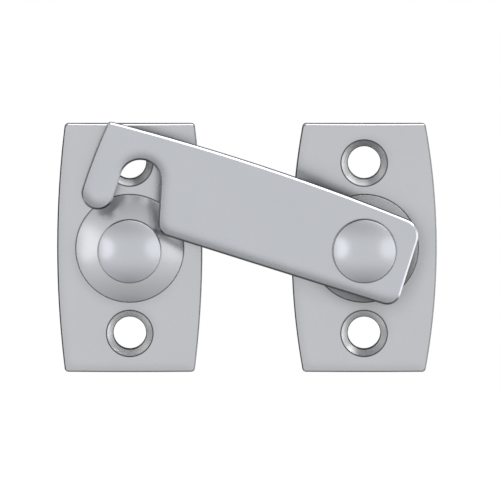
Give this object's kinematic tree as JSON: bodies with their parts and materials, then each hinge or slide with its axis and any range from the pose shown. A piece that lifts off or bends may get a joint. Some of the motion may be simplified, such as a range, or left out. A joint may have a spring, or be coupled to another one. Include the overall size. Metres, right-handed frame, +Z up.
{
  "type": "shutter latch",
  "caption": "Surface latch for a pair of shutters: a flat pivoting arm on one plate drops its notch over a domed stud on the other.",
  "frame": {"origin": "midway between the pivot plate's two screw holes, on the plane of the surface that it is screwed to", "axes": "+Z up, +X to the right along the latch, from the keep plate to the pivot plate, and -Y out of the front"},
  "size_m": [0.058, 0.0107, 0.0386],
  "materials": {
    "satin_plate": "satin",
    "satin_arm": "satin",
    "satin_stud": "satin",
    "screw_steel": "satin",
    "nylon": "matte"
  },
  "bodies": {
    "plates": {"keep_plate": "satin_plate", "pivot_plate": "satin_plate", "keep_stud": "satin_stud", "pivot_stud": "satin_stud", "keep_stud_screw": "screw_steel", "pivot_stud_screw": "screw_steel", "pivot_washer": "nylon"},
    "arm": {"latch_arm": "satin_arm"}
  },
  "joints": [
    {"name": "arm_pivot", "type": "hinge", "parent": "plates", "child": "arm", "pos_m": [0, -0.0056, 0], "axis": [0, 1, 0], "range_deg": [-17.5, 325]}
  ]
}
